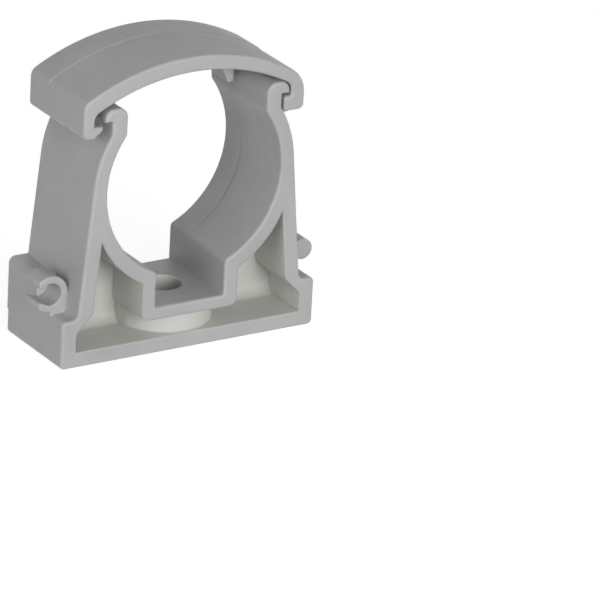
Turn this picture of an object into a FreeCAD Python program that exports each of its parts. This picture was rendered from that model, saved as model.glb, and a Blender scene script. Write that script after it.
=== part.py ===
import FreeCAD, Part
import os

# A conduit clip: a moulded saddle with two sprung arms, closed by a hooked strap.
# Millimetres, +Z up, +X right and +Y away from whoever faces the clip.
# The origin is on the screw hole's axis, in the plane that meets the wall.

doc = FreeCAD.newDocument("conduit_clip")

# Driving sizes

SIZES = [
    ("bore_diameter", 32.0, "outside diameter of the conduit"),
    ("bore_standoff", 12.7, "conduit above the wall"),
    ("clip_depth", 17.8, "clip along the conduit"),
    ("base_overhang", 4.9, "base beyond the ring on each side"),
    ("base_plate", 2.6, "thickness of the plate against the wall"),
    ("end_block_height", 8.2, "height of the two end blocks"),
    ("end_wall", 2.6, "outer wall of a hollow end block"),
    ("end_roof", 2.3, "start of the end hollow's slope below the end block's top"),
    ("flare_rise", 0.5, "end of that slope above the end block's top"),
    ("rim_round", 0.45, "rounding of the outer edges of the front and back"),
    ("base_round", 0.8, "rounding of the base's long corners"),
    ("foot_round", 1.1, "rounding between an arm and its end block"),
    ("ring_wall", 2.5, "wall round the bore"),
    ("arm_wall", 2.6, "thickness of a leaning arm"),
    ("foot_inset", 2.8, "an arm's foot inside the base's end"),
    ("shoulder_rise", 1.3, "where an arm runs into the ring, above the conduit's centre"),
    ("channel_width", 12.7, "screw channel below the conduit"),
    ("channel_wall", 2.4, "side wall of the screw channel"),
    ("channel_floor", 7.9, "height of the channel's floor"),
    ("floor_thickness", 2.0, "thickness of the channel's floor"),
    ("channel_lip_round", 1.0, "rounding where bore and channel meet"),
    ("housing_round", 1.2, "rounding of the channel's outer lower corners"),
    ("front_hollow", 9.6, "depth of the hollows in the front"),
    ("hollow_round", 1.6, "rounding of the slope in an end hollow"),
    ("web_thickness", 2.1, "web that closes the hollows"),
    ("web_foot_round", 2.0, "rounding between the base plate and the web's front"),
    ("boss_diameter", 16.4, "boss round the screw hole"),
    ("screw_hole", 6.6, "clearance hole for an M6 screw"),
    ("mouth_narrowing", 3.2, "how far each arm end stands in from the bore's side"),
    ("mouth_round", 1.6, "rounding between an arm end and the bore"),
    ("neck_thickness", 2.75, "arm just below its head"),
    ("ledge_rise", 2.7, "underside of a head's ledge above the bore's upper corner"),
    ("head_thickness", 2.1, "top of the heads above their ledges"),
    ("ledge_reach", 1.35, "how far a head stands out of its neck"),
    ("head_inner_round", 1.7, "inner rounding of a head"),
    ("head_outer_round", 1.6, "outer rounding of a head"),
    ("coupling_rise", 3.4, "side coupling's axis above the end block"),
    ("coupling_setback", 4.0, "side coupling behind the front face"),
    ("bead_diameter", 3.5, "coupling bead"),
    ("bead_length", 4.2, "coupling bead along the conduit"),
    ("bead_neck", 2.0, "thickness of the bead's neck"),
    ("socket_clearance", 0.15, "radial room for a neighbour's bead"),
    ("socket_end_clearance", 0.3, "room behind a neighbour's bead"),
    ("socket_wall", 1.15, "wall round the coupling socket"),
    ("socket_mouth", 2.6, "gap in the side of the socket"),
    ("socket_reach", 2.1, "how far the socket's lips stand out of its axis"),
    ("socket_block_rise", 1.5, "top of the block behind the socket above its axis"),
    ("socket_block_round", 1.1, "rounding along that block's top"),
    ("underside_radius", 36.5, "radius of the arch's underside"),
    ("underside_offset", 0.8, "centre of the underside left of the screw axis"),
    ("strap_clearance", 0.36, "room between the underside and the flat top of the right head"),
    ("arch_thickness", 2.8, "thickness of the arch at its crown"),
    ("arch_radius_gain", 1.6, "how much larger the radius of the arch's top is"),
    ("arch_offset", 1.5, "centre of the arch's top left of the screw axis"),
    ("strap_short", 0.2, "strap shorter than the saddle at the back"),
    ("free_hook_wall", 2.05, "wall of the hook that snaps open"),
    ("free_hook_slack", 1.95, "room between that wall and its head"),
    ("free_hook_drop", 2.4, "bottom of that hook below the ledge"),
    ("free_hook_round", 1.8, "outer rounding above that hook"),
    ("held_hook_wall", 2.5, "wall of the hook at the tether"),
    ("held_hook_slack", 0.3, "room between that wall and its head"),
    ("held_hook_drop", 3.1, "bottom of that hook below the ledge"),
    ("held_hook_round", 5.0, "outer rounding above that hook"),
    ("hook_inner_round", 1.5, "inner rounding above both hooks"),
    ("hook_end_round", 1.0, "outer rounding at the hooks' lower ends"),
    ("free_lip_reach", 1.5, "how far the snapping lip stands out of its hook"),
    ("held_lip_gap", 0.12, "room between the lip at the tether and the ring"),
    ("lip_clearance", 0.5, "room between a lip and its ledge"),
    ("lip_slope", 1.2, "bevel below the snapping lip"),
    ("lip_nose_round", 0.55, "rounding of the lip at the tether"),
    ("tooth_clearance", 1.3, "stop tooth inside its arm"),
    ("tooth_setback", 8.6, "tooth behind the front face"),
    ("tooth_length", 5.0, "tooth along the conduit"),
    ("held_tooth_drop", 6.3, "lower end of the tooth at the tether below the underside's crown"),
    ("held_tooth_tip", 1.0, "width of that tooth's tip"),
    ("held_tooth_root", 3.7, "width of that tooth in the arch"),
    ("free_tooth_drop", 3.0, "lower end of the other tooth below the underside's crown"),
    ("free_tooth_tip", 3.4, "width of the other tooth's tip"),
    ("free_tooth_root", 6.2, "width of the other tooth in the arch"),
    ("tether_reach", 1.1, "hinge line beyond the heads"),
    ("tether_thickness", 0.9, "moulded tether between arm and strap"),
    ("tether_clearance", 0.15, "room between the tether and the hook"),
    ("tether_setback", 2.5, "tether behind the front face"),
    ("tether_width", 7.3, "tether along the conduit"),
]

sheet = doc.addObject("Spreadsheet::Sheet", "sizes")
for row, (alias, value, meaning) in enumerate(SIZES, start=1):
    sheet.set(f"A{row}", alias)
    sheet.set(f"B{row}", str(value))
    sheet.set(f"C{row}", meaning)
    sheet.setAlias(f"B{row}", alias)
doc.recompute()


def size(alias):
    return float(sheet.get(alias))


# Expressions that several features share

FRONT = "-sizes.clip_depth / 2"
BACK = "sizes.clip_depth / 2"
BORE_RADIUS = "sizes.bore_diameter / 2"
BORE_HEIGHT = "(sizes.bore_diameter / 2 + sizes.bore_standoff)"
RING_RADIUS = "(sizes.bore_diameter / 2 + sizes.ring_wall)"
BASE_SIDE = f"({RING_RADIUS} + sizes.base_overhang)"
FOOT = f"({BASE_SIDE} - sizes.foot_inset)"
SHOULDER = f"sqrt({RING_RADIUS} ^ 2 - sizes.shoulder_rise ^ 2)"
SHOULDER_HEIGHT = f"({BORE_HEIGHT} + sizes.shoulder_rise)"
ARM_LEAN = f"(({FOOT} - {SHOULDER}) / ({SHOULDER_HEIGHT} - sizes.end_block_height))"
NECK_INSIDE = f"({BORE_RADIUS} - sizes.mouth_narrowing)"
NECK_OUTSIDE = f"({NECK_INSIDE} + sizes.neck_thickness)"
HEAD_TIP = f"({NECK_OUTSIDE} + sizes.ledge_reach)"
MOUTH_CORNER = f"({BORE_HEIGHT} + sqrt(({BORE_RADIUS}) ^ 2 - {NECK_INSIDE} ^ 2))"
LEDGE_HEIGHT = f"({MOUTH_CORNER} + sizes.ledge_rise)"
HEAD_HEIGHT = f"({LEDGE_HEIGHT} + sizes.head_thickness)"
WEB_FRONT = f"({FRONT} + sizes.front_hollow)"
WEB_BACK = f"({FRONT} + sizes.front_hollow + sizes.web_thickness)"
COUPLING_FRONT = f"({FRONT} + sizes.coupling_setback)"
COUPLING_HEIGHT = "(sizes.end_block_height + sizes.coupling_rise)"
SOCKET_RADIUS = "(sizes.bead_diameter / 2 + sizes.socket_clearance)"
ABOVE = f"({HEAD_HEIGHT} + sizes.bore_diameter)"

# The same places as numbers, for finding the edges to round

bore_radius = size("bore_diameter") / 2
bore_height = bore_radius + size("bore_standoff")
base_side = bore_radius + size("ring_wall") + size("base_overhang")
foot = base_side - size("foot_inset")
neck_inside = bore_radius - size("mouth_narrowing")
head_tip = neck_inside + size("neck_thickness") + size("ledge_reach")
mouth_corner = bore_height + (bore_radius ** 2 - neck_inside ** 2) ** 0.5
ledge_height = mouth_corner + size("ledge_rise")
head_height = ledge_height + size("head_thickness")
coupling_height = size("end_block_height") + size("coupling_rise")
ring_radius = bore_radius + size("ring_wall")
shoulder = (ring_radius ** 2 - size("shoulder_rise") ** 2) ** 0.5
arm_lean = (foot - shoulder) / (bore_height + size("shoulder_rise") - size("end_block_height"))
flare_side = foot - arm_lean * size("flare_rise") - size("arm_wall")


def bind(obj, expressions):
    for prop, expression in expressions.items():
        obj.setExpression(prop, expression)
    return obj


def place(obj, x="0", y="0", z="0", rotation=None):
    if rotation:
        axis, angle = rotation
        obj.Placement = FreeCAD.Placement(FreeCAD.Vector(), FreeCAD.Rotation(axis, angle))
    return bind(obj, {".Placement.Base.x": x, ".Placement.Base.y": y, ".Placement.Base.z": z})


def box(name, x_from, x_to, z_from, z_to, y_from=FRONT, y_to=BACK):
    obj = doc.addObject("Part::Box", name)
    bind(obj, {
        "Length": f"({x_to}) - ({x_from})",
        "Width": f"({y_to}) - ({y_from})",
        "Height": f"({z_to}) - ({z_from})",
    })
    return place(obj, x_from, y_from, z_from)


def rod(name, radius, x, z, y_from=FRONT, y_to=BACK):
    """A cylinder that lies along the conduit."""
    obj = doc.addObject("Part::Cylinder", name)
    bind(obj, {"Radius": radius, "Height": f"({y_to}) - ({y_from})"})
    return place(obj, x, y_from, z, rotation=(FreeCAD.Vector(1, 0, 0), -90))


def prism(name, low, high, y_from=FRONT, y_to=BACK):
    """A solid along the conduit with sloping sides: low and high are (height, x_from, x_to)."""
    obj = doc.addObject("Part::Wedge", name)
    z_low, low_from, low_to = low
    z_high, high_from, high_to = high
    bind(obj, {
        "Ymin": z_low, "Ymax": z_high,
        "Xmin": low_from, "Xmax": low_to,
        "X2min": high_from, "X2max": high_to,
        "Zmin": f"-({y_to})", "Zmax": f"-({y_from})",
        "Z2min": f"-({y_to})", "Z2max": f"-({y_from})",
    })
    return place(obj, rotation=(FreeCAD.Vector(1, 0, 0), 90))


def fuse(name, pieces):
    obj = doc.addObject("Part::MultiFuse", name)
    obj.Shapes = pieces
    obj.Refine = True
    return obj


def cut(name, base, tool):
    obj = doc.addObject("Part::Cut", name)
    obj.Base = base
    obj.Tool = tool
    obj.Refine = True
    return obj


def common(name, first, second):
    obj = doc.addObject("Part::MultiCommon", name)
    obj.Shapes = [first, second]
    obj.Refine = True
    return obj


def edges_along_y(shape, spots):
    """Number every edge that runs along the conduit at one of the (x, z, radius) spots."""
    found = []
    for number, edge in enumerate(shape.Edges, start=1):
        box_of = edge.BoundBox
        if box_of.XLength > 0.01 or box_of.ZLength > 0.01:
            continue
        for x, z, radius in spots:
            if abs(box_of.XMin - x) < 0.05 and abs(box_of.ZMin - z) < 0.05:
                found.append((number, radius, radius))
    return found


def rounded(name, base, spots):
    doc.recompute()
    obj = doc.addObject("Part::Fillet", name)
    obj.Base = base
    obj.Edges = edges_along_y(base.Shape, spots)
    if len(obj.Edges) != len(spots):
        raise RuntimeError(f"{name}: {len(obj.Edges)} edges found for {len(spots)} corners")
    return obj


def soft_rims(name, base, radius):
    """Round every edge that lies in the front or the back face of a piece."""
    doc.recompute()
    whole = base.Shape.BoundBox
    obj = doc.addObject("Part::Fillet", name)
    obj.Base = base
    obj.Edges = [
        (number, radius, radius)
        for number, edge in enumerate(base.Shape.Edges, start=1)
        if edge.BoundBox.YLength < 0.01
        and min(abs(edge.BoundBox.YMin - whole.YMin), abs(edge.BoundBox.YMax - whole.YMax)) < 0.01
    ]
    return obj


def both_sides(name, piece):
    """The piece and its mirror image in the plane through the screw axis and the conduit."""
    mirror = doc.addObject("Part::Mirroring", name + "_mirrored")
    mirror.Source = piece
    mirror.Normal = FreeCAD.Vector(1, 0, 0)
    return fuse(name, [piece, mirror])


# Saddle: base, arms and ring

base_round = size("base_round")
base_box = box("base_box", f"-{BASE_SIDE}", BASE_SIDE, "0", "sizes.end_block_height")
base = rounded("base", base_box, [
    (side * base_side, z, base_round)
    for side in (-1, 1)
    for z in (0, size("end_block_height"))
])

arms = prism(
    "arms",
    ("sizes.end_block_height / 2",
     f"-({FOOT} + {ARM_LEAN} * sizes.end_block_height / 2)",
     f"{FOOT} + {ARM_LEAN} * sizes.end_block_height / 2"),
    (SHOULDER_HEIGHT, f"-{SHOULDER}", SHOULDER),
)
ring_rod = rod("ring_rod", RING_RADIUS, "0", BORE_HEIGHT)
ring_top = box("ring_top", f"-{RING_RADIUS}", RING_RADIUS, LEDGE_HEIGHT, ABOVE)
ring = cut("ring", ring_rod, ring_top)

# Arm ends: a neck each, with a head whose ledge the strap hooks under

neck = box("neck", NECK_INSIDE, NECK_OUTSIDE, MOUTH_CORNER, f"{HEAD_HEIGHT} - sizes.head_inner_round")
head_box = box("head_box", NECK_INSIDE, HEAD_TIP, LEDGE_HEIGHT, HEAD_HEIGHT)
head = rounded("head", head_box, [
    (neck_inside, head_height, size("head_inner_round")),
    (head_tip, head_height, size("head_outer_round")),
])
arm_ends = both_sides("arm_ends", fuse("arm_end", [neck, head]))

outside = rounded("outside", fuse("outline", [base, arms, ring, arm_ends]), [
    (side * foot, size("end_block_height"), size("foot_round")) for side in (-1, 1)
])

# Hollows in the front and back, which leave a web, the ring, the channel's walls and a boss



def arm_inside(height):
    """Where the inner face of the right arm is at a height."""
    return f"({FOOT} + {ARM_LEAN} * (sizes.end_block_height - {height}) - sizes.arm_wall)"


hollow_arms = prism(
    "hollow_arms",
    ("sizes.base_plate", "-" + arm_inside("sizes.base_plate"), arm_inside("sizes.base_plate")),
    (BORE_HEIGHT, "-" + arm_inside(BORE_HEIGHT), arm_inside(BORE_HEIGHT)),
)
END_HOLLOW = f"({BASE_SIDE} - sizes.end_wall)"
END_ROOF = "(sizes.end_block_height - sizes.end_roof)"
FLARE_HEIGHT = "(sizes.end_block_height + sizes.flare_rise)"
hollow_ends = box("hollow_ends", f"-{END_HOLLOW}", END_HOLLOW, "sizes.base_plate", END_ROOF)
hollow_flare = prism(
    "hollow_flare",
    (END_ROOF, f"-{END_HOLLOW}", END_HOLLOW),
    (FLARE_HEIGHT, "-" + arm_inside(FLARE_HEIGHT), arm_inside(FLARE_HEIGHT)),
)
hollow_outline = rounded(
    "hollow_outline", fuse("hollow_shapes", [hollow_arms, hollow_ends, hollow_flare]), [
        (side * x, z, size("hollow_round"))
        for side in (-1, 1)
        for x, z in [
            (flare_side, size("end_block_height") + size("flare_rise")),
            (base_side - size("end_wall"), size("end_block_height") - size("end_roof")),
        ]
    ])

kept_ring = rod("kept_ring", RING_RADIUS, "0", BORE_HEIGHT)
CHANNEL_OUTSIDE = "(sizes.channel_width / 2 + sizes.channel_wall)"
housing_box = box("housing_box", f"-{CHANNEL_OUTSIDE}", CHANNEL_OUTSIDE,
                  "sizes.channel_floor - sizes.floor_thickness", BORE_HEIGHT)
channel_outside = size("channel_width") / 2 + size("channel_wall")
floor_underside = size("channel_floor") - size("floor_thickness")
housing = rounded("housing", housing_box, [
    (side * channel_outside, floor_underside, size("housing_round")) for side in (-1, 1)
])
web = box("web", f"-{BASE_SIDE}", BASE_SIDE, "0", BORE_HEIGHT, WEB_FRONT, WEB_BACK)
boss = doc.addObject("Part::Cylinder", "boss")
bind(boss, {"Radius": "sizes.boss_diameter / 2", "Height": "sizes.channel_floor"})
WEB_FOOT = f"({WEB_FRONT} - sizes.web_foot_round)"
WEB_FOOT_TOP = "(sizes.base_plate + sizes.web_foot_round)"
web_foot_block = box("web_foot_block", f"-{BASE_SIDE}", BASE_SIDE,
                     "sizes.base_plate", WEB_FOOT_TOP, WEB_FOOT, WEB_FRONT)
web_foot_rod = doc.addObject("Part::Cylinder", "web_foot_rod")
bind(web_foot_rod, {"Radius": "sizes.web_foot_round", "Height": f"2 * {BASE_SIDE}"})
place(web_foot_rod, f"-{BASE_SIDE}", WEB_FOOT, WEB_FOOT_TOP,
      rotation=(FreeCAD.Vector(0, 1, 0), 90))
web_foot = cut("web_foot", web_foot_block, web_foot_rod)
kept = fuse("kept", [kept_ring, housing, web, web_foot, boss])
hollows = cut("hollows", hollow_outline, kept)

# The space for the conduit, its way in and the screw

bore = rod("bore", BORE_RADIUS, "0", BORE_HEIGHT)
channel = box("channel", "-sizes.channel_width / 2", "sizes.channel_width / 2",
              "sizes.channel_floor", BORE_HEIGHT)
mouth = box("mouth", f"-{NECK_INSIDE}", NECK_INSIDE, MOUTH_CORNER, ABOVE)
screw_hole = doc.addObject("Part::Cylinder", "screw_hole_tool")
bind(screw_hole, {"Radius": "sizes.screw_hole / 2", "Height": BORE_HEIGHT})
channel_side = size("channel_width") / 2
way_in = rounded("way_in", fuse("way_in_outline", [bore, channel, mouth]), [
    (side * x, z, radius)
    for side in (-1, 1)
    for x, z, radius in (
        (channel_side, bore_height - (bore_radius ** 2 - channel_side ** 2) ** 0.5,
         size("channel_lip_round")),
        (neck_inside, mouth_corner, size("mouth_round")),
    )
])

saddle_profile = cut("saddle_profile", outside, way_in)
saddle_rims = soft_rims("saddle_rims", saddle_profile, size("rim_round"))
saddle = cut("saddle", cut("saddle_shell", saddle_rims, hollows), screw_hole)

# Side couplings: a bead on the right fits the socket on the left of the next clip

bead = rod("bead", "sizes.bead_diameter / 2", BASE_SIDE, COUPLING_HEIGHT,
           COUPLING_FRONT, f"{COUPLING_FRONT} + sizes.bead_length")
bead_neck = box("bead_neck", f"{FOOT} - sizes.arm_wall", BASE_SIDE,
                f"{COUPLING_HEIGHT} - sizes.bead_neck / 2",
                f"{COUPLING_HEIGHT} + sizes.bead_neck / 2",
                COUPLING_FRONT, f"{COUPLING_FRONT} + sizes.bead_length")

SOCKET_BACK = f"({COUPLING_FRONT} + sizes.bead_length + sizes.socket_end_clearance)"
SOCKET_LIPS = f"({BASE_SIDE} + sizes.socket_reach)"
socket_tube = rod("socket_tube", f"{SOCKET_RADIUS} + sizes.socket_wall", f"-{BASE_SIDE}",
                  COUPLING_HEIGHT, COUPLING_FRONT, SOCKET_BACK)
socket_limit = box("socket_limit", f"-{SOCKET_LIPS}", "0", "0", BORE_HEIGHT,
                   COUPLING_FRONT, SOCKET_BACK)
socket_ring = common("socket_ring", socket_tube, socket_limit)
socket_foot = box("socket_foot", f"-{BASE_SIDE}", f"-{FOOT} + sizes.arm_wall / 2",
                  "sizes.end_block_height / 2", COUPLING_HEIGHT,
                  COUPLING_FRONT, SOCKET_BACK)
socket_bore = rod("socket_bore", SOCKET_RADIUS, f"-{BASE_SIDE}", COUPLING_HEIGHT,
                  COUPLING_FRONT, SOCKET_BACK)
socket_gap = box("socket_gap", f"-{SOCKET_LIPS}", f"-{BASE_SIDE}",
                 f"{COUPLING_HEIGHT} - sizes.socket_mouth / 2",
                 f"{COUPLING_HEIGHT} + sizes.socket_mouth / 2", COUPLING_FRONT, SOCKET_BACK)
socket = cut("socket", fuse("socket_solid", [socket_ring, socket_foot]),
             fuse("socket_hollow", [socket_bore, socket_gap]))

stop_box = box("stop_box", f"-{BASE_SIDE}", f"-{FOOT} + sizes.arm_wall / 2",
               "sizes.end_block_height / 2", f"{COUPLING_HEIGHT} + sizes.socket_block_rise",
               SOCKET_BACK)
socket_stop = rounded("socket_stop", stop_box, [
    (-base_side, coupling_height + size("socket_block_rise"), size("socket_block_round")),
])

# Tether: the thin strip, moulded with both, on which the strap swings

HINGE_X = f"({HEAD_TIP} + sizes.tether_reach)"
HINGE_Z = (f"({LEDGE_HEIGHT} - sizes.held_hook_drop - sizes.tether_clearance"
           " - sizes.tether_thickness / 2)")
TETHER_FRONT = f"({FRONT} + sizes.tether_setback)"
TETHER_BACK = f"({FRONT} + sizes.tether_setback + sizes.tether_width)"
tether_strip = box("tether_strip", NECK_OUTSIDE, HINGE_X,
                   f"{HINGE_Z} - sizes.tether_thickness / 2",
                   f"{HINGE_Z} + sizes.tether_thickness / 2", TETHER_FRONT, TETHER_BACK)
tether_end = rod("tether_end", "sizes.tether_thickness / 2", HINGE_X, HINGE_Z, TETHER_FRONT, TETHER_BACK)

clip_body = fuse("clip_body", [saddle, bead, bead_neck, socket, socket_stop, tether_strip, tether_end])

# Strap: an arch with a hook at each end, and a stop tooth inside each arm

LEFT_INSIDE = f"({HEAD_TIP} + sizes.free_hook_slack)"
LEFT_OUTSIDE = f"({HEAD_TIP} + sizes.free_hook_slack + sizes.free_hook_wall)"
RIGHT_INSIDE = f"({HEAD_TIP} + sizes.held_hook_slack)"
RIGHT_OUTSIDE = f"({HEAD_TIP} + sizes.held_hook_slack + sizes.held_hook_wall)"
LEFT_BOTTOM = f"({LEDGE_HEIGHT} - sizes.free_hook_drop)"
RIGHT_BOTTOM = f"({LEDGE_HEIGHT} - sizes.held_hook_drop)"
LIP_TOP = f"({LEDGE_HEIGHT} - sizes.lip_clearance)"
STRAP_BACK = "(sizes.clip_depth / 2 - sizes.strap_short)"
UNDERSIDE_CENTRE = (f"({HEAD_HEIGHT} + sizes.strap_clearance - sqrt(sizes.underside_radius ^ 2"
                    f" - ({HEAD_TIP} - sizes.head_outer_round + sizes.underside_offset) ^ 2))")
UNDERSIDE_CROWN = f"({UNDERSIDE_CENTRE} + sizes.underside_radius)"
ARCH_RADIUS = "(sizes.underside_radius + sizes.arch_radius_gain)"
ARCH_CENTRE = f"({UNDERSIDE_CROWN} + sizes.arch_thickness - {ARCH_RADIUS})"

underside_radius = size("underside_radius")
right_flat = head_tip - size("head_outer_round") + size("underside_offset")
underside_centre = head_height + size("strap_clearance") - (underside_radius ** 2 - right_flat ** 2) ** 0.5
arch_radius = underside_radius + size("arch_radius_gain")
arch_centre = underside_centre + underside_radius + size("arch_thickness") - arch_radius


def top_at(x):
    return arch_centre + (arch_radius ** 2 - (x + size("arch_offset")) ** 2) ** 0.5


def underside_at(x):
    return underside_centre + (underside_radius ** 2 - (x + size("underside_offset")) ** 2) ** 0.5


strap_disc = rod("strap_disc", ARCH_RADIUS, "-sizes.arch_offset", ARCH_CENTRE, FRONT, STRAP_BACK)
strap_span = box("strap_span", f"-{LEFT_OUTSIDE}", RIGHT_OUTSIDE, RIGHT_BOTTOM, ABOVE, FRONT, STRAP_BACK)
left_trim = box("left_trim", f"-{LEFT_OUTSIDE}", "0", RIGHT_BOTTOM, LEFT_BOTTOM)
strap_block = cut("strap_block", common("strap_arch", strap_disc, strap_span), left_trim)
left_outside = head_tip + size("free_hook_slack") + size("free_hook_wall")
right_outside = head_tip + size("held_hook_slack") + size("held_hook_wall")
left_bottom = ledge_height - size("free_hook_drop")
right_bottom = ledge_height - size("held_hook_drop")
strap_outline = rounded("strap_outline", strap_block, [
    (-left_outside, top_at(-left_outside), size("free_hook_round")),
    (right_outside, top_at(right_outside), size("held_hook_round")),
    (-left_outside, left_bottom, size("hook_end_round")),
    (right_outside, right_bottom, size("hook_end_round")),
])

arch_hollow_disc = rod("arch_hollow_disc", "sizes.underside_radius",
                       "-sizes.underside_offset", UNDERSIDE_CENTRE)
arch_hollow_span = box("arch_hollow_span", f"-{LEFT_INSIDE}", RIGHT_INSIDE, BORE_HEIGHT, ABOVE)
arch_hollow_block = common("arch_hollow_block", arch_hollow_disc, arch_hollow_span)
left_inside = head_tip + size("free_hook_slack")
right_inside = head_tip + size("held_hook_slack")
arch_hollow = rounded("arch_hollow", arch_hollow_block, [
    (-left_inside, underside_at(-left_inside), size("hook_inner_round")),
    (right_inside, underside_at(right_inside), size("hook_inner_round")),
])
hooks = cut("hooks", strap_outline, arch_hollow)

left_lip = prism(
    "left_lip",
    (LEFT_BOTTOM, f"-{LEFT_INSIDE} - sizes.free_hook_wall / 2", f"-{LEFT_INSIDE}"),
    (f"{LEFT_BOTTOM} + sizes.lip_slope",
     f"-{LEFT_INSIDE} - sizes.free_hook_wall / 2", f"-{LEFT_INSIDE} + sizes.free_lip_reach"),
    FRONT, STRAP_BACK,
)
left_lip_top = box("left_lip_top", f"-{LEFT_INSIDE} - sizes.free_hook_wall / 2",
                   f"-{LEFT_INSIDE} + sizes.free_lip_reach", f"{LEFT_BOTTOM} + sizes.lip_slope", LIP_TOP,
                   FRONT, STRAP_BACK)
LIP_NOSE = (f"(sqrt(({RING_RADIUS} + sizes.held_lip_gap + sizes.lip_nose_round) ^ 2"
            f" - ({RIGHT_BOTTOM} + sizes.lip_nose_round - {BORE_HEIGHT}) ^ 2) - sizes.lip_nose_round)")
right_lip_box = box("right_lip_box", LIP_NOSE,
                    f"{RIGHT_INSIDE} + sizes.held_hook_wall / 2", RIGHT_BOTTOM, LIP_TOP,
                    FRONT, STRAP_BACK)
nose_round = size("lip_nose_round")
nose_from_axis = bore_radius + size("ring_wall") + size("held_lip_gap") + nose_round
lip_nose = (nose_from_axis ** 2 - (right_bottom + nose_round - bore_height) ** 2) ** 0.5 - nose_round
lip_top = ledge_height - size("lip_clearance")
right_lip = rounded("right_lip", right_lip_box, [
    (lip_nose, right_bottom, nose_round),
    (lip_nose, lip_top, nose_round),
])

TOOTH_FACE = f"({NECK_INSIDE} - sizes.tooth_clearance)"
TOOTH_FRONT = f"({FRONT} + sizes.tooth_setback)"
TOOTH_BACK = f"({FRONT} + sizes.tooth_setback + sizes.tooth_length)"


def tooth_root(x):
    """A height inside the arch, above a tooth's face."""
    return (f"({ARCH_CENTRE} + sqrt({ARCH_RADIUS} ^ 2 - ({x} + sizes.arch_offset) ^ 2)"
            " - sizes.arch_thickness / 3)")


held_tooth = prism(
    "held_tooth",
    (f"{UNDERSIDE_CROWN} - sizes.held_tooth_drop", f"{TOOTH_FACE} - sizes.held_tooth_tip", TOOTH_FACE),
    (tooth_root(TOOTH_FACE), f"{TOOTH_FACE} - sizes.held_tooth_root", TOOTH_FACE),
    TOOTH_FRONT, TOOTH_BACK,
)
free_tooth = prism(
    "free_tooth",
    (f"{UNDERSIDE_CROWN} - sizes.free_tooth_drop", f"-{TOOTH_FACE}", f"-{TOOTH_FACE} + sizes.free_tooth_tip"),
    (tooth_root(f"-{TOOTH_FACE}"), f"-{TOOTH_FACE}", f"-{TOOTH_FACE} + sizes.free_tooth_root"),
    TOOTH_FRONT, TOOTH_BACK,
)

strap_profile = fuse("strap_profile", [hooks, left_lip, left_lip_top, right_lip])
strap_shell = soft_rims("strap_shell", strap_profile, size("rim_round"))
closing_strap = fuse("closing_strap", [strap_shell, held_tooth, free_tooth])

# Check every object, then write one file for each sub-part

doc.recompute()
for obj in doc.Objects:
    if "Invalid" in obj.State or "Error" in obj.State:
        raise RuntimeError(f"{obj.Name} failed: {obj.State}")

SUB_PARTS = [clip_body, closing_strap]
for obj in SUB_PARTS:
    shape = obj.Shape
    if shape.isNull() or not shape.isValid() or len(shape.Solids) != 1:
        raise RuntimeError(f"{obj.Label} is not one valid solid")

os.makedirs("parts", exist_ok=True)
for obj in SUB_PARTS:
    obj.Shape.exportStep(f"parts/{obj.Label}.step")
    print(obj.Label, round(obj.Shape.Volume, 1), "mm3", obj.Shape.BoundBox)
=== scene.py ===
import math

import bmesh
import bpy
from mathutils import Matrix, Vector


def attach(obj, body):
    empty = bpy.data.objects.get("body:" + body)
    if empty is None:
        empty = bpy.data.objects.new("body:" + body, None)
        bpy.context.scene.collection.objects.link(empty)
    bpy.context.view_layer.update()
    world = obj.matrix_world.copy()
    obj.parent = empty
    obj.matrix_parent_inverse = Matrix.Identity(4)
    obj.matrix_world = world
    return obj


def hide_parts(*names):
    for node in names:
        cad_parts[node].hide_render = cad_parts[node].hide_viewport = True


# A conduit clip: a moulded saddle with two sprung arms, closed by a hooked strap.
# Metres, +Z up, +X right and +Y away from whoever faces the clip.

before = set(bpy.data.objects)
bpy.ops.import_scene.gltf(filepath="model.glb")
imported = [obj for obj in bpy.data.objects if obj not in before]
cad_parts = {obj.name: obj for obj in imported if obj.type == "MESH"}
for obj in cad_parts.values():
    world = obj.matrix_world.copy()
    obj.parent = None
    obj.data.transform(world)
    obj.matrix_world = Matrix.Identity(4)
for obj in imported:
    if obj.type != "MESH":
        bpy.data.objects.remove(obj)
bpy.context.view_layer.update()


# ---------------------------------------------------------------- camera
# A long lens, a metre off, to the left of the clip and above it, held a few degrees
# out of level. The clip fills the upper left of the picture, as in the photograph.

CAMERA_PLACE = Vector((-0.48392, -0.79694, 0.38934))
CAMERA_AIM = Vector((0.01492, -0.01825, 0.00881))
CAMERA_ROLL = math.radians(3.106)
LENS = 372.34

camera = bpy.data.objects.new("camera", bpy.data.cameras.new("camera"))
bpy.context.scene.collection.objects.link(camera)
camera.data.lens = LENS
camera.location = CAMERA_PLACE
level = (CAMERA_AIM - CAMERA_PLACE).to_track_quat("-Z", "Y").to_matrix()
camera.rotation_euler = (level @ Matrix.Rotation(CAMERA_ROLL, 3, "Z")).to_euler()
bpy.context.scene.camera = camera


# ---------------------------------------------------------------- saddle
# The saddle: base, ring and two arms in one moulding of grey unplasticised PVC, made
# in a mould that opens along the conduit. It takes one screw through its channel.

MM = 0.001
WELD = 0.0005 * MM

BORE_RADIUS = 16.0 * MM
BORE_HEIGHT = 28.7 * MM
RING_RADIUS = 18.4 * MM
HOLE_RADIUS = 3.4 * MM
CHANNEL_SIDE = 6.5 * MM
CHANNEL_FLOOR = 7.9 * MM
RIM = 0.5 * MM
END_BLOCK_TOP = 8.0 * MM
ARM_OUTSIDE = 18.2 * MM
CORE_SIDE = 20.9 * MM
CORE_DEPTH = 8.8 * MM
CORE_FLOOR = 2.5 * MM
PARTING_BORE = 3.6 * MM
GROOVE_HALF_WIDTH = 0.16 * MM
GROOVE_DEPTH = 0.10 * MM
BORE_TOLERANCE = 0.02 * MM
FLATNESS = math.radians(0.4)
CORNER_ANGLE = math.radians(38)
FLAT_FACE_WEIGHT = 60

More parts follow.
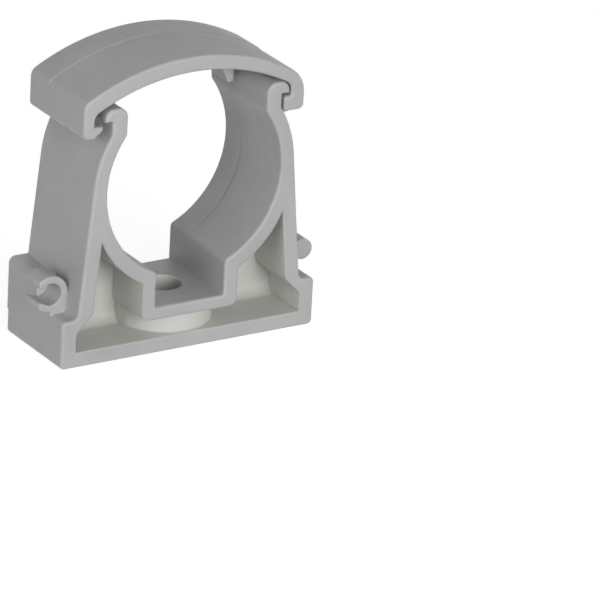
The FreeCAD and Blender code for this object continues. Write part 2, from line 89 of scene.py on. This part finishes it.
GREY = "B0B0B0"
GREY_DEEP = "A8A8A8"
# painted bounce light: the paler, warmer grey that the hollows are painted with
GREY_PAINTED_HOLLOW_LIGHT = "C7C7C2"
GREY_EDGE = "BBBBBB"


def linear(code):
    """An sRGB hex colour as linear red, green, blue and alpha."""
    parts = [int(code[i:i + 2], 16) / 255 for i in (0, 2, 4)]
    return [c / 12.92 if c <= 0.04045 else ((c + 0.055) / 1.055) ** 2.4 for c in parts] + [1.0]


def add(tree, kind, inputs=(), **settings):
    """One shader node with its settings; an input is a value or another node's output."""
    made = tree.nodes.new(kind)
    for name, value in settings.items():
        setattr(made, name, value)
    for name, value in dict(inputs).items():
        if isinstance(value, bpy.types.NodeSocket):
            tree.links.new(value, made.inputs[name])
        else:
            made.inputs[name].default_value = value
    return made


def welded_copy(node, name):
    """The skin of a CAD node with its loose triangles welded into closed faces."""
    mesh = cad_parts[node].data.copy()
    mesh.name = name
    mesh.materials.clear()
    piece = bpy.data.objects.new(name, mesh)
    bpy.context.scene.collection.objects.link(piece)
    skin = bmesh.new()
    skin.from_mesh(mesh)
    bmesh.ops.remove_doubles(skin, verts=skin.verts, dist=WELD)
    bmesh.ops.dissolve_degenerate(skin, edges=skin.edges, dist=WELD)
    bmesh.ops.dissolve_limit(skin, angle_limit=FLATNESS, verts=skin.verts, edges=skin.edges)
    skin.to_mesh(mesh)
    skin.free()
    return piece


def cut_rings(skin, places):
    """Adds edges where the planes y = place cross the skin."""
    for place in places:
        bmesh.ops.bisect_plane(
            skin, geom=list(skin.verts) + list(skin.edges) + list(skin.faces),
            dist=WELD, plane_co=(0, place, 0), plane_no=(0, 1, 0))


def gets_hollow_light(centre, normal):
    """Whether a face of the saddle lies in the hollows or the hole, which are painted with
    bounce light.
    """
    side = abs(centre.x)
    outward = normal.x * math.copysign(1, centre.x)
    if math.hypot(centre.x, centre.y) < HOLE_RADIUS:
        return CORE_FLOOR < centre.z < CHANNEL_FLOOR
    below_ring = math.hypot(centre.x, centre.z - BORE_HEIGHT) > RING_RADIUS
    in_channel = side < CHANNEL_SIDE and centre.z > CHANNEL_FLOOR - RIM
    on_arm_outside = side > ARM_OUTSIDE and (outward > 0.5 or centre.z > END_BLOCK_TOP)
    return (CORE_FLOOR < centre.z < BORE_HEIGHT and side < CORE_SIDE
            and abs(centre.y) < CORE_DEPTH and below_ring
            and not in_channel and not on_arm_outside)


def smooth_with_corners(piece):
    """Smooth shading that keeps flat faces flat and real corners sharp."""
    skin = bmesh.new()
    skin.from_mesh(piece.data)
    for face in skin.faces:
        face.smooth = True
    for edge in skin.edges:
        edge.smooth = edge.is_manifold and edge.calc_face_angle() < CORNER_ANGLE
    skin.to_mesh(piece.data)
    skin.free()
    weighted = piece.modifiers.new("flat faces stay flat", "WEIGHTED_NORMAL")
    weighted.keep_sharp = True
    weighted.weight = FLAT_FACE_WEIGHT


MOTTLE_SIZE = 11 * MM
HOLLOW_REACH = 6 * MM
EDGE_ROUND = 0.5 * MM
SCUFF_SIZE = 1.6 * MM
STREAK_LENGTH = 9 * MM
STREAK_WIDTH = 0.7 * MM
STREAK_DEPTH = 0.03 * MM
SHRINKAGE_SIZE = 7 * MM
SHRINKAGE_DEPTH = 0.12 * MM
GRAIN_SIZE = 0.3 * MM
GRAIN_DEPTH = 0.012 * MM
PVC_IOR = 1.53
LIGHT_REACH = 2.0 * MM


def moulded_pvc(name):
    """Grey rigid PVC from a mould with a fine spark-eroded grain."""
    finish = bpy.data.materials.new(name)
    finish.use_nodes = True
    tree = finish.node_tree
    tree.nodes.clear()
    where = add(tree, "ShaderNodeTexCoord").outputs["Object"]

    # colour: slow mottling, painted bounce light that makes the hollows paler and warmer,
    # paler on worn edges
    mottle = add(tree, "ShaderNodeTexNoise", {
        "Vector": where, "Scale": 1 / MOTTLE_SIZE, "Detail": 3.0, "Roughness": 0.55})
    tone = add(tree, "ShaderNodeValToRGB", {"Fac": mottle.outputs["Fac"]})
    tone.color_ramp.elements[0].position = 0.32
    tone.color_ramp.elements[0].color = linear(GREY_DEEP)
    tone.color_ramp.elements[1].position = 0.68
    tone.color_ramp.elements[1].color = linear(GREY)
    # painted light: where occlusion is deep and on the hollow faces, the colour turns paler
    # and warmer, standing in for bounced light
    hollow = add(tree, "ShaderNodeAmbientOcclusion", {"Distance": HOLLOW_REACH}, samples=8)
    painted_light_by_occlusion = add(tree, "ShaderNodeMapRange", {
        "Value": hollow.outputs["AO"], "From Min": 0.2, "From Max": 0.7,
        "To Min": 0.3, "To Max": 0.0})
    hollow_light_face = add(tree, "ShaderNodeAttribute", attribute_name="hollow_light_face")
    painted_light_share = add(tree, "ShaderNodeMath", {
        0: painted_light_by_occlusion.outputs["Result"], 1: hollow_light_face.outputs["Fac"]}, operation="MAXIMUM")
    hollow_light_colour = add(tree, "ShaderNodeMix", data_type="RGBA")
    tree.links.new(painted_light_share.outputs["Value"], hollow_light_colour.inputs["Factor"])
    tree.links.new(tone.outputs["Color"], hollow_light_colour.inputs["A"])
    hollow_light_colour.inputs["B"].default_value = linear(GREY_PAINTED_HOLLOW_LIGHT)
    rounded = add(tree, "ShaderNodeBevel", {"Radius": EDGE_ROUND}, samples=8)
    geometry = add(tree, "ShaderNodeNewGeometry")
    across = add(tree, "ShaderNodeVectorMath", operation="DOT_PRODUCT")
    tree.links.new(rounded.outputs["Normal"], across.inputs[0])
    tree.links.new(geometry.outputs["Normal"], across.inputs[1])
    scuffs = add(tree, "ShaderNodeTexNoise", {
        "Vector": where, "Scale": 1 / SCUFF_SIZE, "Detail": 4.0, "Roughness": 0.65})
    edge = add(tree, "ShaderNodeMapRange", {
        "Value": across.outputs["Value"], "From Min": 0.99, "From Max": 0.90,
        "To Min": 0.0, "To Max": 1.0})
    worn = add(tree, "ShaderNodeMath", operation="MULTIPLY", use_clamp=True)
    tree.links.new(edge.outputs["Result"], worn.inputs[0])
    tree.links.new(scuffs.outputs["Fac"], worn.inputs[1])
    colour = add(tree, "ShaderNodeMix", data_type="RGBA")
    tree.links.new(worn.outputs["Value"], colour.inputs["Factor"])
    tree.links.new(hollow_light_colour.outputs["Result"], colour.inputs["A"])
    colour.inputs["B"].default_value = linear(GREY_EDGE)

    # sheen: drag marks, 9 mm long and 0.7 mm wide, polish the skin in streaks
    drawn_out = add(tree, "ShaderNodeMapping", {
        "Vector": where,
        "Scale": (1 / STREAK_LENGTH, 1 / STREAK_WIDTH, 1 / STREAK_LENGTH)})
    streaks = add(tree, "ShaderNodeTexNoise", {
        "Vector": drawn_out.outputs["Vector"], "Scale": 1.0, "Detail": 3.0})
    gloss = add(tree, "ShaderNodeMapRange", {
        "Value": streaks.outputs["Fac"], "From Min": 0.3, "From Max": 0.7,
        "To Min": 0.40, "To Max": 0.58})

    # relief: uneven shrinkage over thick places, then streaks, then grain
    shrinkage = add(tree, "ShaderNodeTexNoise", {
        "Vector": where, "Scale": 1 / SHRINKAGE_SIZE, "Detail": 1.0})
    sunk = add(tree, "ShaderNodeBump", {
        "Height": shrinkage.outputs["Fac"], "Strength": 0.5, "Distance": SHRINKAGE_DEPTH,
        "Normal": rounded.outputs["Normal"]})
    dragged = add(tree, "ShaderNodeBump", {
        "Height": streaks.outputs["Fac"], "Strength": 0.35, "Distance": STREAK_DEPTH,
        "Normal": sunk.outputs["Normal"]})
    # spark erosion leaves 0.05 mm grain; drawn at 0.3 mm, the finest that shows
    grain = add(tree, "ShaderNodeTexNoise", {
        "Vector": where, "Scale": 1 / GRAIN_SIZE, "Detail": 2.0})
    grained = add(tree, "ShaderNodeBump", {
        "Height": grain.outputs["Fac"], "Strength": 0.3, "Distance": GRAIN_DEPTH,
        "Normal": dragged.outputs["Normal"]})

    surface = add(tree, "ShaderNodeBsdfPrincipled", {
        "Base Color": colour.outputs["Result"], "Roughness": gloss.outputs["Result"],
        "Normal": grained.outputs["Normal"], "IOR": PVC_IOR,
        "Subsurface Weight": 0.35, "Subsurface Scale": LIGHT_REACH,
        "Subsurface Radius": (1.0, 0.97, 0.8)})
    add(tree, "ShaderNodeOutputMaterial", {"Surface": surface.outputs["BSDF"]})
    return finish


saddle = welded_copy("clip_body", "saddle")
skin = bmesh.new()
skin.from_mesh(saddle.data)
cut_rings(skin, [PARTING_BORE - GROOVE_HALF_WIDTH, PARTING_BORE,
                 PARTING_BORE + GROOVE_HALF_WIDTH])
skin.normal_update()
for point in skin.verts:
    out = Vector((point.co.x, 0, point.co.z - BORE_HEIGHT))
    in_bore = out.length < BORE_RADIUS + BORE_TOLERANCE and point.normal.dot(out) < 0
    if in_bore and abs(point.co.y - PARTING_BORE) < BORE_TOLERANCE / 2:
        point.co += out.normalized() * GROOVE_DEPTH
skin.to_mesh(saddle.data)
skin.free()
# painted light: faces of the hollows and the hole are marked for the paler, warmer colour of
# painted bounce light
hollow_light_face = saddle.data.attributes.new("hollow_light_face", "FLOAT", "FACE")
for face in saddle.data.polygons:
    hollow_light_face.data[face.index].value = float(gets_hollow_light(face.center, face.normal))
smooth_with_corners(saddle)
saddle.data.materials.append(moulded_pvc("rigid PVC, moulded, saddle"))
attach(saddle, "clip_body")
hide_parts("clip_body")


# ---------------------------------------------------------------- strap
# The strap closes the bore and hooks under the heads of both arms. It comes out of
# the same mould as the saddle, so its halves meet at a witness line along its top.

PARTING_STRAP = 2.75 * MM
STEP_HALF_WIDTH = 0.06 * MM
STEP_DEPTH = 0.12 * MM
STEP_END = 42.0 * MM
STEP_FADE = 2.5 * MM
STRAP_CENTRE = Vector((0, 0, 30 * MM))

strap = welded_copy("closing_strap", "strap")
skin = bmesh.new()
skin.from_mesh(strap.data)
cut_rings(skin, [PARTING_STRAP - STEP_HALF_WIDTH, PARTING_STRAP + STEP_HALF_WIDTH])
skin.normal_update()
for point in skin.verts:
    out = Vector((point.co.x, 0, point.co.z)) - STRAP_CENTRE
    aside = Vector((point.normal.x, 0, point.normal.z))
    if point.co.y < PARTING_STRAP and aside.dot(out.normalized()) > 0.5:
        fade = min(max((point.co.z - STEP_END) / STEP_FADE, 0), 1)
        point.co -= aside * STEP_DEPTH * fade
skin.to_mesh(strap.data)
skin.free()
smooth_with_corners(strap)
strap.data.materials.append(moulded_pvc("rigid PVC, moulded, strap"))
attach(strap, "closing_strap")
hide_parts("closing_strap")


# ---------------------------------------------------------------- floor and light
# White card under the clip, a large soft lamp in front of it and a weaker one to its
# left, and an even pale room. The card shows as white and keeps the clip's shadow.

CARD_REACH = 3.0
CARD_TOP = -0.02 * MM
CARD_SEEN = 0.35
CARD_LIFT = 0.86
CARD_BOUNCE = 0.55
HORIZON_LIGHT = 0.60
OVERHEAD_LIGHT = 0.16
LAMP_AIM = Vector((0, 0, 0.025))


def background_rays(tree):
    """One for the rays that should find plain white, which are seen, mirrored or bent."""
    ray = add(tree, "ShaderNodeLightPath")
    mirrored = add(tree, "ShaderNodeMath", {
        0: ray.outputs["Is Camera Ray"], 1: ray.outputs["Is Glossy Ray"]},
        operation="MAXIMUM")
    bent = add(tree, "ShaderNodeMath", {
        0: mirrored.outputs["Value"], 1: ray.outputs["Is Transmission Ray"]},
        operation="MAXIMUM")
    return bent.outputs["Value"]


card_mesh = bpy.data.meshes.new("card")
card_mesh.from_pydata(
    [(x * CARD_REACH, y * CARD_REACH, CARD_TOP)
     for x, y in ((-1, -1), (1, -1), (1, 1), (-1, 1))],
    [], [(0, 1, 2, 3)])
card = bpy.data.objects.new("card", card_mesh)
bpy.context.scene.collection.objects.link(card)
paper = bpy.data.materials.new("white card")
paper.use_nodes = True
tree = paper.node_tree
tree.nodes.clear()
seen = add(tree, "ShaderNodeBsdfDiffuse", {"Color": (CARD_SEEN, CARD_SEEN, CARD_SEEN, 1)})
lift = add(tree, "ShaderNodeEmission", {"Color": (1, 1, 1, 1), "Strength": CARD_LIFT})
both = add(tree, "ShaderNodeAddShader")
tree.links.new(seen.outputs["BSDF"], both.inputs[0])
tree.links.new(lift.outputs["Emission"], both.inputs[1])
bounce = add(tree, "ShaderNodeBsdfDiffuse", {
    "Color": (CARD_BOUNCE, CARD_BOUNCE, CARD_BOUNCE, 1)})
choice = add(tree, "ShaderNodeMixShader", {"Fac": background_rays(tree)})
tree.links.new(bounce.outputs["BSDF"], choice.inputs[1])
tree.links.new(both.outputs["Shader"], choice.inputs[2])
add(tree, "ShaderNodeOutputMaterial", {"Surface": choice.outputs["Shader"]})
card_mesh.materials.append(paper)

room = bpy.data.worlds.new("room")
bpy.context.scene.world = room
room.use_nodes = True
tree = room.node_tree
tree.nodes.clear()
height = add(tree, "ShaderNodeSeparateXYZ", {
    "Vector": add(tree, "ShaderNodeTexCoord").outputs["Generated"]})
overhead = add(tree, "ShaderNodeMapRange", {
    "Value": height.outputs["Z"], "From Min": 0.0, "From Max": 0.9,
    "To Min": HORIZON_LIGHT, "To Max": OVERHEAD_LIGHT})
dim = add(tree, "ShaderNodeBackground", {
    "Color": (0.98, 0.99, 1.0, 1), "Strength": overhead.outputs["Result"]})
white = add(tree, "ShaderNodeBackground", {"Color": (1, 1, 1, 1), "Strength": 1.0})
choice = add(tree, "ShaderNodeMixShader", {"Fac": background_rays(tree)})
tree.links.new(dim.outputs["Background"], choice.inputs[1])
tree.links.new(white.outputs["Background"], choice.inputs[2])
add(tree, "ShaderNodeOutputWorld", {"Surface": choice.outputs["Shader"]})


def soft_lamp(name, place, size, power):
    """A square lamp aimed at the middle of the clip."""
    lamp = bpy.data.objects.new(name, bpy.data.lights.new(name, "AREA"))
    bpy.context.scene.collection.objects.link(lamp)
    lamp.data.size = size
    lamp.data.energy = power
    lamp.location = place
    aim = LAMP_AIM - lamp.location
    lamp.rotation_euler = aim.to_track_quat("-Z", "Y").to_euler()


soft_lamp("key", Vector((-0.03, -0.67, 0.20)), 0.30, 2.9)
soft_lamp("fill", Vector((-0.63, -0.24, 0.12)), 0.40, 1.5)

bpy.context.scene.view_settings.view_transform = "Standard"
